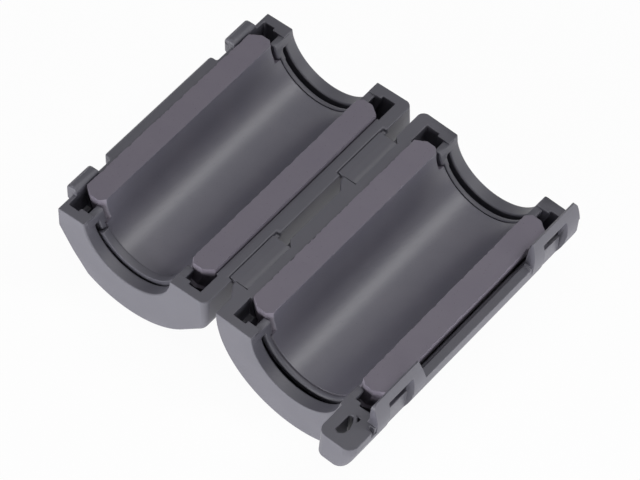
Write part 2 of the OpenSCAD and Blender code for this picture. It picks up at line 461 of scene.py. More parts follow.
def mixed(graph: Graph, share: Any, first: Any, second: Any) -> bpy.types.NodeSocket:
    """Mixes two colours, each a plain linear colour or a socket.

    Args:
        graph: The material's graph.
        share: Share of the second colour, from 0 to 1.
        first: Colour at 0.
        second: Colour at 1.

    Returns:
        The mixed colour's socket.
    """
    ends = [(*colour, 1) if isinstance(colour, tuple) else colour for colour in (first, second)]
    node = graph.node("ShaderNodeMix", {"data_type": "RGBA"}, {"Factor": share, 6: ends[0], 7: ends[1]})
    return node.outputs[2]


def seen_directly(graph: Graph) -> Value:
    """Tells what is seen, directly or in gloss and glass, from other light.

    Args:
        graph: The material's or the world's graph.

    Returns:
        1 for a ray that sees, and 0 for any other.
    """
    path = graph.node("ShaderNodeLightPath")
    seen = graph.value(path, "Is Camera Ray")
    for output in ("Is Glossy Ray", "Is Transmission Ray"):
        seen = seen.at_least(graph.value(path, output))
    return seen


# ---------------------------------------------------------------- places


@dataclass(frozen=True)
class HalfFrame:
    """The flat frame of one half: u outwards from the hinge axis, y along it, w above the rim.

    Attributes:
        side: Which half it is.
    """

    side: Side

    @property
    def hinge(self) -> Vector:
        """The middle of the hinge axis."""
        return Vector(JOINTS["case_hinge"]["pos_m"])

    @property
    def lean(self) -> float:
        """How far the half leans outwards, in radians."""
        return math.asin(abs(JOINTS["latch_core_press"]["axis"][0]))

    @property
    def mount(self) -> dict[str, Any]:
        """The record's mount for the groove of this half."""
        return MOUNTS[f"cable_groove_{self.side.label}_half"]

    @property
    def bore(self) -> Vector:
        """A point of the bore's axis, halfway along it, in the row frame."""
        return Vector(self.mount["pos_m"])

    @property
    def bore_radius(self) -> float:
        """Radius of the bore."""
        return self.mount["dims"]["r_mm"] * MM

    @property
    def matrix(self) -> Matrix:
        """The matrix that takes (u, y, w) to the row frame.

        Returns:
            The matrix. It mirrors on the catch half.
        """
        sign, lean = self.side.value, self.lean
        u = Vector((sign * math.cos(lean), 0, -math.sin(lean)))
        w = Vector((sign * math.sin(lean), 0, math.cos(lean)))
        turn = Matrix((u, (0, 1, 0), w)).transposed().to_4x4()
        return Matrix.Translation(self.hinge) @ turn

    def flat(self, point: Vector) -> Vector:
        """The (u, y, w) of a point in the row frame."""
        return self.matrix.inverted() @ point


def new_object(name: str, mesh: bpy.types.Mesh) -> bpy.types.Object:
    """Links a new object for a mesh.

    Args:
        name: The piece's name.
        mesh: Its mesh, in the row frame.

    Returns:
        The new object, at the origin.
    """
    piece = bpy.data.objects.new(name, mesh)
    bpy.context.scene.collection.objects.link(piece)
    return piece


def plain_mesh(piece: bpy.types.Object) -> bpy.types.Object:
    """Applies a piece's modifiers and removes them.

    Args:
        piece: A mesh object with modifiers.

    Returns:
        The same object with a plain mesh.
    """
    graph = bpy.context.evaluated_depsgraph_get()
    graph.update()
    mesh = bpy.data.meshes.new_from_object(piece.evaluated_get(graph), depsgraph=graph)
    mesh.name = piece.name
    piece.modifiers.clear()
    piece.data = mesh
    return piece


def flat_faces(piece: bpy.types.Object) -> bpy.types.Object:
    """Keeps a rounded piece's large faces flat in the light, and applies its modifiers.

    Args:
        piece: A mesh object.

    Returns:
        The same object with a plain mesh.
    """
    normals = piece.modifiers.new("flat_faces", "WEIGHTED_NORMAL")
    normals.keep_sharp = True
    return plain_mesh(piece)


def dress(piece: bpy.types.Object, material: bpy.types.Material) -> None:
    """Gives a piece its material.

    Args:
        piece: The piece.
        material: Its one material.
    """
    piece.data.materials.clear()
    piece.data.materials.append(material)


def report(piece: bpy.types.Object) -> None:
    """Logs a piece's name, size and number of triangles.

    Args:
        piece: A finished piece.
    """
    piece.data.calc_loop_triangles()
    size = ", ".join(f"{length / MM:.2f}" for length in piece.dimensions)
    log.info("%s: %s mm, %d triangles", piece.name, size, len(piece.data.loop_triangles))


# ---------------------------------------------------------------- case halves


@dataclass(frozen=True)
class CutRow:
    """One section of a tool that rounds an edge off, in the half's flat frame.

    Attributes:
        corner: The edge's place.
        out: Direction off the solid on one side of the edge.
        end: Direction off the solid on its other side.
        radius: Radius of the rounding.
    """

    corner: Vector
    out: Vector
    end: Vector
    radius: float


@dataclass(frozen=True)
class EdgeCutter:
    """Builds tools that round an edge off where they are subtracted.

    Attributes:
        turns: Angles of the points round the arc, in degrees. The first is as far from 0 as the last from 90.
        clear: How far the arc's ends stay off the two faces, which keeps the cut clean.
        lead: Length of the straight runs before and after the arc.
    """

    turns: tuple[int, ...] = (7, 11, 20, 29, 38, 47, 56, 65, 74, 83)
    clear: float = 0.003 * MM
    lead: float = 0.3 * MM

    def section(self, radius: float, past: float) -> list[Vector]:
        """The tool's outline at one row: x is along the row's out, and y along its end.

        Args:
            radius: Radius of the rounding.
            past: How far the tool reaches past the edge.

        Returns:
            The outline's points.
        """
        turns = [math.radians(turn) for turn in self.turns]
        inset = radius * math.cos(turns[0]) - self.clear
        arc = [Vector((math.cos(turn), math.sin(turn))) * radius - Vector((inset, inset)) for turn in turns]
        first = arc[0] - (arc[1] - arc[0]).normalized() * self.lead
        last = arc[-1] + (arc[-1] - arc[-2]).normalized() * self.lead
        return [first, *arc, last, Vector((last.x, past)), Vector((past, past)), Vector((past, first.y))]

    def tool(self, place: HalfFrame, rows: list[CutRow], past: float = MM) -> bpy.types.Object:
        """Builds one tool.

        Args:
            place: The half's frame.
            rows: The tool's sections, in order along the edge.
            past: How far the tool reaches past the edge.

        Returns:
            The tool, which the caller removes.
        """
        skin, rings = bmesh.new(), []
        for row in rows:
            outline = self.section(row.radius, past)
            spots = [row.corner + row.out * spot.x + row.end * spot.y for spot in outline]
            rings.append([skin.verts.new(place.matrix @ spot) for spot in spots])
        for one, two in zip(rings, rings[1:]):
            for k in range(len(one)):
                skin.faces.new((one[k - 1], one[k], two[k], two[k - 1]))
        skin.faces.new(rings[0])
        skin.faces.new(rings[-1])
        bmesh.ops.triangulate(skin, faces=skin.faces)
        bmesh.ops.recalc_face_normals(skin, faces=skin.faces)
        mesh = bpy.data.meshes.new("cutter")
        skin.to_mesh(mesh)
        skin.free()
        return new_object("cutter", mesh)


@dataclass(eq=False)
class Chain:
    """A smooth run of sharp edges.

    Attributes:
        edges: The edges, in no order.
        corners: The corners at its two ends. A closed run has none.
        length: Its whole length.
    """

    edges: list[bmesh.types.BMEdge]
    corners: list[bmesh.types.BMVert]
    length: float


@dataclass
class CaseHalf:
    """One moulded half of the case: its CAD solid with every edge softened as moulding leaves it.

    Distances are in the half's flat frame: u from the hinge axis, y from the middle, w above the rim.

    Attributes:
        side: Which half it is.
        outer_radius: Rounding of the edges round the outside.
        inner_radius: Rounding of all other edges.
        clasp_radius: Rounding of the catches.
        arm_radius: Rounding of the latch arms' edges.
        arm_corner: Rounding of the latch arms' upper corners, seen from the side.
        ring_radius: Rounding of the retaining rings in front of the cores.
        lug_radius: Rounding of the edges under the corner lug, the widest of all.
        corner_radius: Rounding of the case's upright corners beside the hinge, which fades downwards.
        corner_fade: Length round the back over which it fades.
        lug_corner: Rounding of the corner lug's outer upright corner.
        least_radius: An edge with room for less than this stays sharp.
        most_share: Largest share of the room beside an edge that its rounding takes.
        sharp_angle: Angle between two faces from which their edge is rounded, in degrees.
        chain_angle: Angle between two edges from which they are one run, in degrees.
        segments: Steps across a rounding.
        back_radius: Radius of the curved back, round the bore's axis.
        back_depth: An end outline is followed while it is less than this inside that radius.
        back_corners: An end outline that goes round the back has more corners than this.
        outside_radius: Distance from the bore's axis past which an edge can be on the outside.
        near_side: An edge with less u than this is on the hinge side.
        far_side: An edge with more u than this is on the outer side.
        clasp_u: An edge with more u than this is on a catch or a latch arm.
        clasp_w: Lowest w of the catches' and arms' edges.
        arm_u: A corner with more u than this, and more w than arm_w, is on the upper part of an arm.
        arm_w: The same for w.
        lug_u: u of the lug's outer face.
        lug_w: w under which an edge is on the lug's underside.
        ring_y: y of the retaining rings' end faces.
        ring_inset: How far the rings stand inside the bore.
        ring_slope: Rounding of the rings' edges at those faces.
        ring_from: Angle from the split plane where that rounding starts, in degrees.
        ring_past: How far its tool reaches past the edge: less than to the lip.
        overrun: How far a tool runs past the end of its edge.
    """

    side: Side
    outer_radius: float = 0.4 * MM
    inner_radius: float = 0.14 * MM
    clasp_radius: float = 0.45 * MM
    arm_radius: float = 0.2 * MM
    arm_corner: float = 0.8 * MM
    ring_radius: float = 0.3 * MM
    lug_radius: float = 0.6 * MM
    corner_radius: float = 1.0 * MM
    corner_fade: float = 9 * MM
    lug_corner: float = 1.35 * MM
    least_radius: float = 0.025 * MM
    most_share: float = 0.42
    sharp_angle: float = 28.0
    chain_angle: float = 140.0
    segments: int = 3
    back_radius: float = 11.8 * MM
    back_depth: float = 1.3 * MM
    back_corners: int = 8
    outside_radius: float = 9.9 * MM
    near_side: float = 2 * MM
    far_side: float = 22 * MM
    clasp_u: float = 23 * MM
    clasp_w: float = -3 * MM
    arm_u: float = 20 * MM
    arm_w: float = 0.5 * MM
    lug_u: float = 24.15 * MM
    lug_w: float = -4.2 * MM
    ring_y: float = 16.66 * MM
    ring_inset: float = 0.05 * MM
    ring_slope: float = 0.42 * MM
    ring_from: float = 30.0
    ring_past: float = 0.4 * MM
    overrun: float = 0.6 * MM

    @property
    def node(self) -> str:
        """The CAD node and body that this half stands for."""
        return f"{self.side.label}_half_case"

    @property
    def body(self) -> str:
        """The body that carries this half."""
        return f"{self.side.label}_half"

    @property
    def place(self) -> HalfFrame:
        """The half's flat frame."""
        return HalfFrame(self.side)

    @property
    def centre(self) -> Vector:
        """The middle of the bore's axis in the flat frame."""
        return self.place.flat(self.place.bore)

    @property
    def end_y(self) -> float:
        """Distance of the case's end faces from its middle."""
        return self.place.mount["dims"]["length_mm"] / 2 * MM

    def from_axis(self, spot: Vector) -> float:
        """Distance of a place from the bore's axis, both in the flat frame."""
        return math.hypot(spot.x - self.centre.x, spot.z - self.centre.z)

    def merged(self) -> bmesh.types.BMesh:
        """Makes the CAD mesh one closed skin of flat polygons, with its large roundings cut.

        Returns:
            The new mesh, for the caller to free.
        """
        solid = bpy.data.meshes.new("solid")
        skin = bmesh.new()
        skin.from_mesh(frame["nodes"][self.node].data)
        self.weld(skin)
        edge = EdgeCutter()
        cutters = [edge.tool(self.place, self.end_rows(path)) for path in self.end_outlines(skin)]
        cutters += [edge.tool(self.place, self.ring_rows(end), self.ring_past) for end in (-1, 1)]
        if self.side is Side.LATCH:
            cutters += [edge.tool(self.place, rows) for rows in (self.lug_rows(), *self.arm_rows())]
        skin.to_mesh(solid)
        skin.free()
        piece = new_object("solid", solid)
        for number, cutter in enumerate(cutters):
            cut = piece.modifiers.new(f"cut_{number}", "BOOLEAN")
            cut.operation, cut.solver, cut.object = "DIFFERENCE", "EXACT", cutter
        solid = plain_mesh(piece).data
        for tool in (piece, *cutters):
            bpy.data.objects.remove(tool)
        skin = bmesh.new()
        skin.from_mesh(solid)
        self.weld(skin)
        return skin

    def weld(self, skin: bmesh.types.BMesh) -> None:
        """Joins a mesh's loose triangles into flat polygons."""
        bmesh.ops.remove_doubles(skin, verts=skin.verts, dist=0.0002 * MM)
        bmesh.ops.dissolve_limit(skin, angle_limit=math.radians(0.5), verts=skin.verts, edges=skin.edges)

    def end_outlines(self, skin: bmesh.types.BMesh) -> list[list[Vector]]:
        """Finds the rounded outlines of the end faces, each from the hinge side's rim round the back.

        Args:
            skin: The half's merged mesh.

        Returns:
            Lists of (u, y, w) places. The end with the corner lug is left out.
        """
        paths = []
        for end in (-1, 1) if self.side is Side.CATCH else (1,):
            level = self.place.hinge.y + end * self.end_y
            flats = [face for face in skin.faces if abs(face.calc_center_median().y - level) < CLOSE]
            largest = max(flats, key=lambda face: face.calc_area())
            spots = [self.place.flat(vert.co) for vert in largest.verts]
            # the corner nearest the hinge, and the upper one of those that are as near
            start = min(range(len(spots)), key=lambda k: spots[k].x - spots[k].z * 0.2)
            for way in (1, -1):
                path = [spots[start]]
                for step in range(1, len(spots)):
                    spot = spots[(start + way * step) % len(spots)]
                    if self.from_axis(spot) < self.back_radius - self.back_depth:
                        break
                    path.append(spot)
                    if spot.x > self.centre.x and spot.z > -CLOSE:
                        break
                # the way that runs along the rim breaks off after a few corners
                if len(path) > self.back_corners:
                    paths.append(path)
        return paths

    def end_rows(self, path: list[Vector]) -> list[CutRow]:
        """Plans a tool along an end outline: wide at the hinge side's rim, then narrower.

        Args:
            path: The outline.

        Returns:
            The tool's rows.
        """
        first = path[0] + (path[0] - path[1]).normalized() * self.overrun
        last = path[-1] + (path[-1] - path[-2]).normalized() * self.overrun
        path = [first, *path, last]
        rows, gone = [], 0.0
        for number, spot in enumerate(path):
            along = path[min(number + 1, len(path) - 1)] - path[max(number - 1, 0)]
            out = Vector((along.z, 0, -along.x)).normalized()
            if out.dot(spot - self.centre) < 0:
                out = -out
            gone += (spot - path[number - 1]).length if number > 1 else 0.0
            share = max(0.0, 1 - gone / self.corner_fade)
            radius = self.outer_radius + (self.corner_radius - self.outer_radius) * share
            rows.append(CutRow(spot, out, Vector((0, math.copysign(1, spot.y), 0)), radius))
        return rows

    def ring_rows(self, end: int) -> list[CutRow]:
        """Plans a tool that slopes a retaining ring's end face down into the bore.

        Args:
            end: -1 for the front ring and 1 for the rear one.

        Returns:
            The tool's rows.
        """
        rows, steps = [], 60
        for step in range(steps + 1):
            turn = math.radians(self.ring_from + (180 - 2 * self.ring_from) * step / steps)
            out = Vector((math.cos(turn), 0, -math.sin(turn)))
            corner = self.centre + out * (self.place.bore_radius - self.ring_inset)
            corner.y = end * self.ring_y
            rows.append(CutRow(corner, -out, Vector((0, end, 0)), self.ring_slope))
        return rows

    def lug_rows(self) -> list[CutRow]:
        """Plans a tool that rounds the corner lug's outer corner all the way down the curved case.

        Returns:
            The tool's rows.
        """
        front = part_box(self.node)[0].y - self.place.hinge.y
        top, drop, levels = 0.3 * MM, 0.25 * MM, 22
        rows = []
        for level in range(levels):
            w = top - level * drop
            back_u = self.centre.x + math.sqrt(max(self.back_radius**2 - (w - self.centre.z) ** 2, 0.0))
            corner = Vector((min(back_u, self.lug_u), front, w))
            rows.append(CutRow(corner, Vector((1, 0, 0)), Vector((0, -1, 0)), self.lug_corner))
        return rows

    def arm_rows(self) -> list[list[CutRow]]:
        """Plans tools that round the two upper corners of each latch arm, right through it.

        Returns:
            The rows of each corner's tool.
        """
        spots = [self.place.flat(vert.co) for vert in frame["nodes"][self.node].data.vertices]
        upper = [spot for spot in spots if spot.x > self.arm_u and spot.z > self.arm_w]
        beyond = 0.5 * MM
        plans = []
        for end in (-1, 1):
            arm = [spot for spot in upper if spot.y * end > 0]
            low, high = (Vector([pick(spot[k] for spot in arm) for k in range(3)]) for pick in (min, max))
            for y, way in ((low.y, -1), (high.y, 1)):
                rows = []
                for u in (low.x - beyond, high.x + beyond):
                    corner = Vector((u, y, high.z))
                    rows.append(CutRow(corner, Vector((0, way, 0)), Vector((0, 0, 1)), self.arm_corner))
                plans.append(rows)
        return plans

    def chains(self, sharp: set[bmesh.types.BMEdge]) -> list[Chain]:
        """Groups the sharp edges into smooth runs, each from one corner to the next.

        Args:
            sharp: All sharp edges.

        Returns:
            The runs. Each sharp edge is in one of them.
        """
        at = {}
        for edge in sharp:
            for vert in edge.verts:
                at.setdefault(vert, []).append(edge)
        onward = {}
        for vert, pair in at.items():
            if len(pair) == 2:
                one, two = (edge.other_vert(vert).co - vert.co for edge in pair)
                if one.angle(two, 0) > math.radians(self.chain_angle):
                    onward[vert] = pair
        found, left = [], set(sharp)
        while left:
            start = left.pop()
            edges, corners = [start], []
            for vert in start.verts:
                edge = start
                while vert in onward:
                    one, two = onward[vert]
                    edge = two if edge is one else one
                    if edge not in left:
                        break
                    left.remove(edge)
                    edges.append(edge)
                    vert = edge.other_vert(vert)
                else:
                    corners.append(vert)
            found.append(Chain(edges, corners, sum(edge.calc_length() for edge in edges)))
        return found

    def reach(self, edge: bmesh.types.BMEdge, chain: Chain, sharp: set[bmesh.types.BMEdge]) -> float:
        """How far an edge is from what bounds its two faces.

        Args:
            edge: A sharp edge.
            chain: The run that it is in.
            sharp: All sharp edges.

        Returns:
            The distance, at most 1 m.
        """
        start, along = edge.verts[0].co, edge.verts[1].co - edge.verts[0].co
        probes = [start + along * share for share in (0.1, 0.5, 0.9)]
        nearest = 1.0
        for face in edge.link_faces:
            for other in face.edges:
                shared = set(edge.verts) & set(other.verts)
                if other is edge or (shared and other not in chain.edges):
                    continue
                way = other.verts[1].co - other.verts[0].co
                aligned = abs(math.cos(along.angle(way, 0))) > 0.5
                if aligned == (other in chain.edges) and (aligned or other not in sharp):
                    continue
                for probe in probes:
                    step = (probe - other.verts[0].co).dot(way) / max(way.length_squared, 1e-18)
                    foot = other.verts[0].co + way * max(0.0, min(1.0, step))
                    nearest = min(nearest, (foot - probe).length)
        return nearest

    def radii(self, sharp: set[bmesh.types.BMEdge]) -> dict[bmesh.types.BMEdge, float]:
        """Works out a rounding for each sharp edge that its neighbours leave room for.

        Args:
            sharp: All sharp edges.

        Returns:
            The radius for each edge.
        """
        chains = self.chains(sharp)
        ending = {}
        for chain in chains:
            for corner in chain.corners:
                ending.setdefault(corner, []).append(chain)
        found = {}
        for chain in chains:
            beside = [other for corner in chain.corners for other in ending[corner] if other is not chain]
            lengths = [other.length for other in beside]
            room = min([1.0, *lengths, *(self.reach(edge, chain, sharp) for edge in chain.edges)])
            radius = min(self.most_share * room, *(self.wanted(edge) for edge in chain.edges))
            found.update(dict.fromkeys(chain.edges, radius))
        return found

    def wanted(self, edge: bmesh.types.BMEdge) -> float:
        """The rounding that an edge has where there is room for it.

        Args:
            edge: A sharp edge.

        Returns:
            The radius.
        """
        slack = 0.1 * MM
        middle = (edge.verts[0].co + edge.verts[1].co) / 2
        spot = self.place.flat(middle)
        from_axis = self.from_axis(spot)
        if from_axis < self.place.bore_radius + slack:
            return self.ring_radius
        if self.side is Side.LATCH and any(self.in_seat(middle, strap) for strap in STRAPS):
            return 0.0
        if spot.y < -self.end_y - 2 * slack and spot.z < self.lug_w:
            return self.lug_radius
        if spot.x > self.clasp_u and spot.z > self.clasp_w and abs(spot.y) < self.end_y + slack:
            return self.arm_radius if self.side is Side.LATCH else self.clasp_radius
        on_end = abs(spot.y) > self.end_y - slack
        on_side = not self.near_side <= spot.x <= self.far_side
        outside = from_axis > self.outside_radius and (on_end or on_side)
        return self.outer_radius if outside and spot.z < slack else self.inner_radius

    def in_seat(self, spot: Vector, strap: str) -> bool:
        """Whether a place is on the seat of a hinge strap.

        Args:
            spot: The place, in the row frame.
            strap: The strap's name.

        Returns:
            True where it is.
        """
        low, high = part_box(f"hinge_strap_{strap}")
        slack = 0.05 * MM
        return all(low[k] - slack < spot[k] < high[k] + slack for k in range(3))

    def build(self, plastic: bpy.types.Material) -> bpy.types.Object:
        """Builds, softens and dresses the half.

        Args:
            plastic: The case's material.

        Returns:
            The finished piece.
        """
        skin = self.merged()
        layers = skin.edges.layers.float
        weight = layers.get("bevel_weight_edge") or layers.new("bevel_weight_edge")
        sharp = {edge for edge in skin.edges if edge.calc_face_angle(0) > math.radians(self.sharp_angle)}
        for edge, radius in self.radii(sharp).items():
            if radius > self.least_radius:
                edge[weight] = radius / self.lug_radius
            else:
                edge.smooth = False
        for face in skin.faces:
            face.smooth = True
        mesh = bpy.data.meshes.new(self.node)
        skin.to_mesh(mesh)
        skin.free()
        piece = new_object(f"{self.side.label}_half_shell", mesh)
        bevel = piece.modifiers.new("soft_edges", "BEVEL")
        bevel.limit_method = "WEIGHT"
        bevel.width = self.lug_radius
        bevel.segments = self.segments
        bevel.use_clamp_overlap = False
        flat_faces(piece)
        dress(piece, plastic)
        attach(piece, self.body)
        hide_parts(self.node)
        return piece


# ---------------------------------------------------------------- half sleeves


class SleeveTree:
    """The geometry tree that sweeps a half sleeve, chips its split edges and sets it in place."""

    def __init__(self, inputs: dict[str, Any]) -> None:
        """Builds the whole tree.

        Args:
            inputs: The tree's named inputs: a number, whole number, vector or material each.
        """
        kinds = {int: "Int", float: "Float", tuple: "Vector"}
        self.tree = bpy.data.node_groups.new("half_sleeve", "GeometryNodeTree")
        for name, value in inputs.items():
            kind = "NodeSocket" + kinds.get(type(value), "Material")
            self.tree.interface.new_socket(name, in_out="INPUT", socket_type=kind)
        self.tree.interface.new_socket("Geometry", in_out="OUTPUT", socket_type="NodeSocketGeometry")
        self.graph = Graph(self.tree)
        self.given = self.graph.node("NodeGroupInput")
        placed = self.geometry(
            "Transform",
            Geometry=self.chipped(self.swept()),
            Translation=self.given.outputs["Centre"],
            Rotation=self.given.outputs["Turn"],
        )
        real = self.geometry("RealizeInstances", Geometry=placed)
        finished = self.geometry("SetMaterial", Geometry=real, Material=self.given.outputs["Finish"])
        self.graph.node("NodeGroupOutput", None, {0: finished})

    def size(self, name: str) -> Value:
        """One of the tree's inputs as a Value."""
        return self.graph.value(self.given, name)

    def geometry(self, kind: str, mode: str | None = None, **inputs: Any) -> bpy.types.Node:
        """Adds a geometry node.

        Args:
            kind: The node's type without its family name.
            mode: Its mode, where it has one.
            **inputs: Its inputs by name, with _ for a space.

        Returns:
            The new node.
        """
        named = {name.replace("_", " "): value for name, value in inputs.items()}
        return self.graph.node(f"GeometryNode{kind}", {"mode": mode} if mode else None, named)

    def vector(self, **parts: Any) -> bpy.types.Node:
        """A node that makes a vector of its X, Y and Z."""
        return self.graph.node("ShaderNodeCombineXYZ", None, parts)

    def position(self) -> tuple[Value, Value, Value]:
        """The x, y and z of each point."""
        parts = self.graph.node("ShaderNodeSeparateXYZ", None, {0: self.geometry("InputPosition")})
        return tuple(self.graph.value(parts, axis) for axis in "XYZ")

    def outline(self) -> bpy.types.Node:
        """The sleeve's section as a closed, evenly pointed outline: x is the radius and y the length.

        Returns:
            The node with the closed outline as a curve.
        """
        bore, outer = self.size("Bore Radius"), self.size("Bore Radius") + self.size("Wall")
        end, chamfer = self.size("Length") * 0.5, self.size("Bore Chamfer")
        rise, run = self.size("End Rise"), self.size("End Run")
        corners = [
            (bore + chamfer, -end),
            (outer - rise, -end),
            (outer, run - end),
            (outer, end - run),
            (outer - rise, end),
            (bore + chamfer, end),
            (bore, end - chamfer),
            (bore, chamfer - end),
        ]
        switch = self.graph.node("GeometryNodeIndexSwitch", {"data_type": "VECTOR"})
        while len(switch.index_switch_items) < len(corners):
            switch.index_switch_items.new()
        self.graph.feed(switch.inputs[0], self.geometry("InputIndex"))
        for number, (radius, along) in enumerate(corners):
            self.graph.feed(switch.inputs[number + 1], self.vector(X=radius, Y=along))
        ring = self.geometry("MeshCircle", Vertices=len(corners))
        shaped = self.geometry("SetPosition", Geometry=ring, Position=switch)
        lines = self.geometry("MeshToCurve", Mesh=self.geometry("SplitEdges", Mesh=shaped))
        pointed = self.geometry("ResampleCurve", "LENGTH", Curve=lines, Length=self.given.outputs["Spacing"])
        joined = self.geometry("CurveToMesh", Curve=pointed)
        welded = self.geometry("MergeByDistance", Geometry=joined, Distance=0.002 * MM)
        return self.geometry("MeshToCurve", Mesh=welded)

    def swept(self) -> bpy.types.Node:
        """Sweeps the outline along a line, then wraps that line round the bore's axis.

        Returns:
            The node with the closed half sleeve, its split faces level and upwards.
        """
        line = self.geometry("CurvePrimitiveLine", Start=(0.0, 0.0, 0.0), End=(0.0, 0.0, 1.0))
        path = self.geometry("ResampleCurve", "COUNT", Curve=line, Count=self.given.outputs["Steps"])
        bar = self.geometry("CurveToMesh", Curve=path, Profile_Curve=self.outline(), Fill_Caps=True)
        radius, along, share = self.position()
        turn = share * math.pi
        cut = self.cut_back(radius, along, turn)
        wrapped = self.vector(X=radius * turn.cosine(), Y=cut, Z=-(radius * turn.sine()))
        return self.geometry("SetPosition", Geometry=bar, Position=wrapped)

    def cut_back(self, radius: Value, along: Value, turn: Value) -> Value:
        """Draws the ends in beside the two split faces, where the case's end walls hold the sleeve.

        Args:
            radius: Distance of each point from the bore's axis.
            along: Its place along the bore.
            turn: Its angle round the half turn, in radians.

        Returns:
            The new place along the bore.
        """
        bore, rise = self.size("Bore Radius"), self.size("End Rise")
        slope = self.size("End Run") / rise.at_least(1e-6)
        inner = (bore + self.size("Cut Chamfer") - radius).at_least(0.0)
        outer = (radius - (bore + self.size("Wall") - rise)).at_least(0.0) * slope
        limit = self.size("Length") * 0.5 - self.size("Cut Depth") - inner - outer
        distance = abs(along)
        # a hundredth of the depth stays, so that no faces fold onto each other
        kept = distance.at_most(limit + (distance - limit) * 0.01)
        from_split = turn.at_most(math.pi - turn)
        beside = self.graph.math("LESS_THAN", from_split, self.size("Cut Angle"))
        return self.graph.math("SIGN", along) * (distance + (kept - distance) * beside)

    def chipped(self, sleeve: bpy.types.Node) -> bpy.types.Node:
        """Draws the edges of the split faces in here and there, as ground ferrite chips.

        Args:
            sleeve: The node with the half sleeve.

        Returns:
            The node with the chipped sleeve.
        """
        across, _, height = self.position()
        middle = self.size("Bore Radius") + self.size("Wall") * 0.5
        noise = self.graph.node(
            "ShaderNodeTexNoise",
            {"noise_dimensions": "4D"},
            {
                "Vector": self.geometry("InputPosition"),
                "W": self.given.outputs["Seed"],
                "Scale": 1 / self.size("Chip Size").at_least(1e-6),
                "Detail": 3.0,
                "Roughness": 0.7,
            },
        )
        bite = self.graph.value(noise).ramp(0.42, 0.72)
        at_edge = height.ramp(-0.02 * MM, -0.01 * MM)
        away = self.graph.math("SIGN", middle - abs(across)) * self.graph.math("SIGN", across)
        draw = self.size("Chip Depth") * bite * at_edge * away
        return self.geometry("SetPosition", Geometry=sleeve, Offset=self.vector(X=draw))


@dataclass
class HalfCore:
    """One ferrite half sleeve, swept through half a turn, with slightly chipped split edges.

    Attributes:
        side: Which half it lies in.
        wall: Thickness of the sleeve's wall.
        length: Length of the sleeve.
        bore_chamfer: Chamfer at the two ends of the bore.
        end_rise: Radial size of the chamfer on the outer end corners.
        end_run: Lengthwise size of the same chamfer.
        cut_depth: How far the ends are cut back beside the split faces.
        cut_chamfer: Chamfer of the bore's edge at the cut-back ends.
        cut_angle: How far round from the split faces the ends are cut back.
        spacing: Distance between points along the outline.
        steps: Points round the half turn.
        chip_depth: Depth of the largest chips along the split edges.
        chip_size: Size of the chips' pattern.
    """

    side: Side
    wall: float = 3.2 * MM
    length: float = 31.8 * MM
    bore_chamfer: float = 0.12 * MM
    end_rise: float = 1.25 * MM
    end_run: float = 0.85 * MM
    cut_depth: float = 0.4 * MM
    cut_chamfer: float = 0.65 * MM
    cut_angle: float = math.radians(26)
    spacing: float = 0.26 * MM
    steps: int = 121
    chip_depth: float = 0.17 * MM
    chip_size: float = 0.55 * MM

    @property
    def node(self) -> str:
        """The CAD node that this sleeve stands for."""
        return f"ferrite_{self.side.label}_half"

    @property
    def body(self) -> str:
        """The body that carries this sleeve."""
        return f"{self.side.label}_core"

    def inputs(self, place: HalfFrame, material: bpy.types.Material) -> dict[str, Any]:
        """The tree's named inputs: this sleeve's sizes, then its place and finish.

        Args:
            place: The half's frame.
            material: The ferrite's material.

        Returns:
            Name to value.
        """
        sizes = {item.name: getattr(self, item.name) for item in fields(self) if item.name != "side"}
        return {
            **{name.replace("_", " ").title(): size for name, size in sizes.items()},
            "Bore Radius": place.bore_radius,
            "Seed": 4.0 if self.side is Side.LATCH else 9.0,
            "Centre": tuple(place.bore),
            "Turn": (0.0, place.lean * self.side.value, 0.0),
            "Finish": material,
        }

    def build(self, finish: SinteredFerrite) -> bpy.types.Object:
        """Builds and dresses the half sleeve.

        Args:
            finish: The ferrite's finish.

        Returns:
            The finished piece.
        """
        place = HalfFrame(self.side)
        material = finish.material(place)
        inputs = self.inputs(place, material)
        piece = new_object(f"{self.side.label}_half_sleeve", bpy.data.meshes.new(self.node))
        grower = piece.modifiers.new("half_sleeve", "NODES")
        grower.node_group = SleeveTree(inputs).tree
        for item in grower.node_group.interface.items_tree:
            if item.in_out == "INPUT":
                grower[item.identifier] = inputs[item.name]
        plain_mesh(piece)
        piece.data.shade_smooth()
        piece.data.set_sharp_from_angle(angle=math.radians(30))
        dress(piece, material)
        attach(piece, self.body)
        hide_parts(self.node)
        return piece


# ---------------------------------------------------------------- hinge straps


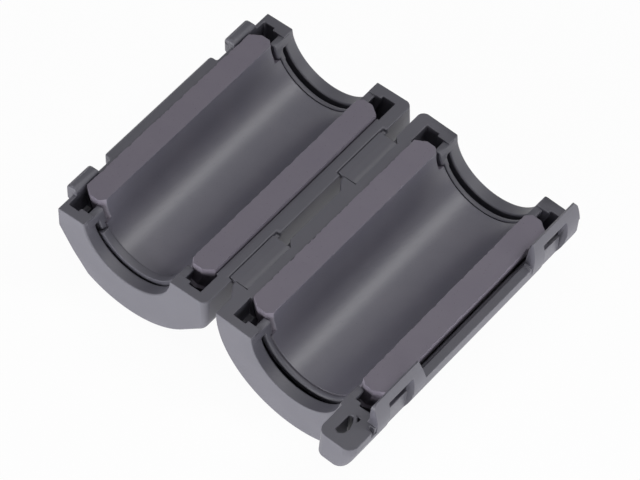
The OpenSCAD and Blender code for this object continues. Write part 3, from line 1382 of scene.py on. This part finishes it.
@dataclass
class HingeStrap:
    """One living-hinge strap: a thin tongue that bends between the two halves.

    Attributes:
        name: front or rear.
        slit: Width of the thin gap round the strap on the catch half's side and at its front end.
        thickness: Thickness of the strap.
        edge: Rounding of the strap's edges.
        bend_reach: Distance from the hinge axis to where the strap stops bending, each way.
        bend_steps: Divisions of the bending part.
    """

    name: str
    slit: float = 0.09 * MM
    thickness: float = 0.55 * MM
    edge: float = 0.06 * MM
    bend_reach: float = 0.7 * MM
    bend_steps: int = 14

    @property
    def node(self) -> str:
        """The CAD node that this strap stands for."""
        return f"hinge_strap_{self.name}"

    def section(self, low: Vector, high: Vector) -> list[Vector]:
        """Points across the strap's top, from the catch half to the latch half.

        Args:
            low: Lowest corner of the CAD strap's box.
            high: Highest corner of that box.

        Returns:
            Points in the row frame at y = 0.
        """
        latch, catch = HalfFrame(Side.LATCH), HalfFrame(Side.CATCH)
        axis = latch.hinge.x
        far_catch, far_latch = axis - low.x - self.slit, high.x - axis
        reaches = [-far_catch, -self.bend_reach]
        reaches += [self.bend_reach * (2 * step / self.bend_steps - 1) for step in range(1, self.bend_steps)]
        reaches += [self.bend_reach, far_latch]
        points = []
        for reach in reaches:
            place = latch if reach >= 0 else catch
            points.append(place.matrix @ Vector((abs(reach), -place.hinge.y, 0)))
        return points

    def build(self, plastic: bpy.types.Material) -> bpy.types.Object:
        """Builds and dresses the strap.

        Args:
            plastic: The case's material.

        Returns:
            The finished piece.
        """
        low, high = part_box(self.node)
        front, rear = low.y + self.slit, high.y
        corners = ((0.0, front), (0.0, rear), (-self.thickness, rear), (-self.thickness, front))
        skin = bmesh.new()
        rows = []
        for top in self.section(low, high):
            rows.append([skin.verts.new((top.x, y, top.z + drop)) for drop, y in corners])
        for one, two in zip(rows, rows[1:]):
            for k in range(4):
                skin.faces.new((one[k], two[k], two[(k + 1) % 4], one[(k + 1) % 4]))
        skin.faces.new(rows[0])
        skin.faces.new(rows[-1][::-1])
        bmesh.ops.recalc_face_normals(skin, faces=skin.faces)
        inside = high.x - 0.05 * MM
        edges = [
            edge
            for edge in skin.edges
            if edge.calc_face_angle(0) > math.radians(45) and min(vert.co.x for vert in edge.verts) < inside
        ]
        bmesh.ops.bevel(skin, geom=edges, offset=self.edge, segments=2, profile=0.5, affect="EDGES")
        for face in skin.faces:
            face.smooth = True
        mesh = bpy.data.meshes.new(self.node)
        skin.to_mesh(mesh)
        skin.free()
        piece = new_object(f"strap_{self.name}", mesh)
        flat_faces(piece)
        dress(piece, plastic)
        axis = HalfFrame(Side.LATCH).hinge
        reach = Vector((self.bend_reach, 0, 0))
        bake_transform(piece, "latch_half", "catch_half", start=axis + reach, end=axis - reach)
        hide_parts(self.node)
        return piece


# ---------------------------------------------------------------- studio


@dataclass(frozen=True)
class Softbox:
    """One large soft lamp that faces the object.

    Attributes:
        name: The lamp's name.
        azimuth: Where it stands, in degrees: 0 is in front, on -Y, and 90 is on +X.
        elevation: Height above the floor, in degrees.
        size: Width and height.
        power: Power in watts.
        distance: Distance from the object.
    """

    name: str
    azimuth: float
    elevation: float
    size: tuple[float, float]
    power: float
    distance: float = 0.4

    def build(self, aim: Vector) -> bpy.types.Object:
        """Sets the lamp up.

        Args:
            aim: The point that it faces.

        Returns:
            The lamp.
        """
        data = bpy.data.lights.new(self.name, "AREA")
        data.shape = "RECTANGLE"
        data.size, data.size_y = self.size
        data.energy = self.power
        lamp = bpy.data.objects.new(self.name, data)
        bpy.context.scene.collection.objects.link(lamp)
        away = direction(self.azimuth, self.elevation)
        lamp.location = aim + away * self.distance
        lamp.rotation_euler = away.to_track_quat("Z", "Y").to_euler()
        return lamp


@dataclass
class Studio:
    """The floor, lamps, world and camera.

    Attributes:
        azimuth: Where the camera stands, in degrees.
        elevation: How high it stands, in degrees.
        roll: How far it is rolled, in degrees.
        distance: Distance from the point that it looks at.
        lens: Focal length in millimetres on a 36 mm sensor.
        aim: The point that it looks at.
        fill: Strength of the world's light on the object.
        floor_reach: Distance from the object to the floor's edges.
        floor_gap: How far the floor lies under the object.
        lamps: The lamps.
    """

    azimuth: float = 36.333
    elevation: float = 54.185
    roll: float = 3.445
    distance: float = 0.49983
    lens: float = 244.12
    aim: Vector = field(default_factory=lambda: Vector((2.606, -0.250, 10.1)) * MM)
    fill: float = 0.0
    floor_reach: float = 2.0
    floor_gap: float = 0.02 * MM
    lamps: tuple[Softbox, ...] = (
        Softbox("back_right", 136.0, 50.0, (0.14, 0.14), 0.42),
        Softbox("overhead", 0.0, 89.0, (0.3, 0.3), 0.6),
        Softbox("front_low", -10.0, 7.0, (0.5, 0.12), 2.0),
        Softbox("right_low", 85.0, 7.0, (0.5, 0.12), 0.9),
    )

    def build(self) -> None:
        """Sets the whole studio up."""
        scene = bpy.context.scene
        scene.view_settings.view_transform = "Standard"
        self.camera()
        self.world()
        for lamp in self.lamps:
            lamp.build(self.aim)
        self.floor()

    def camera(self) -> None:
        """Sets up the camera and makes it the scene's own."""
        data = bpy.data.cameras.new("camera")
        data.lens, data.sensor_width = self.lens, 36.0
        data.clip_start, data.clip_end = 0.01, 20.0
        camera = bpy.data.objects.new("camera", data)
        bpy.context.scene.collection.objects.link(camera)
        away = direction(self.azimuth, self.elevation)
        camera.location = self.aim + away * self.distance
        turn = away.to_track_quat("Z", "Y").to_matrix() @ Matrix.Rotation(math.radians(self.roll), 3, "Z")
        camera.rotation_euler = turn.to_euler()
        bpy.context.scene.camera = camera

    def world(self) -> None:
        """Sets up a white backdrop, whose own light on the object has the strength of fill."""
        world = bpy.data.worlds.new("studio")
        bpy.context.scene.world = world
        world.use_nodes = True
        graph = Graph(world.node_tree)
        background = next(n for n in world.node_tree.nodes if n.type == "BACKGROUND")
        background.inputs["Color"].default_value = (1, 1, 1, 1)
        seen = seen_directly(graph)
        graph.feed(background.inputs["Strength"], self.fill + seen * (1 - self.fill))

    def floor(self) -> None:
        """Lays the floor under the object."""
        mesh = bpy.data.meshes.new("floor")
        far, level = self.floor_reach, CAD_BOX[0][2] - self.floor_gap
        corners = [(-far, -far, level), (far, -far, level), (far, far, level), (-far, far, level)]
        mesh.from_pydata(corners, [], [(0, 1, 2, 3)])
        floor = new_object("floor", mesh)
        mesh.materials.append(PaleFloor().material())


def direction(azimuth: float, elevation: float) -> Vector:
    """The unit vector from the object towards a place round it.

    Args:
        azimuth: Degrees from the front, which is -Y, towards +X.
        elevation: Degrees above the floor.

    Returns:
        The unit vector.
    """
    around, up = math.radians(azimuth), math.radians(elevation)
    return Vector((math.sin(around) * math.cos(up), -math.cos(around) * math.cos(up), math.sin(up)))


# ---------------------------------------------------------------- main


def main() -> None:
    """Builds the studio and every piece."""
    logging.basicConfig(level=logging.INFO, format="%(name)s: %(message)s")
    Studio().build()
    plastic = MouldedPlastic().material()
    ferrite = SinteredFerrite()
    for side in Side:
        report(CaseHalf(side).build(plastic))
        report(HalfCore(side).build(ferrite))
    for name in STRAPS:
        report(HingeStrap(name).build(plastic))


if __name__ == "__main__":
    main()
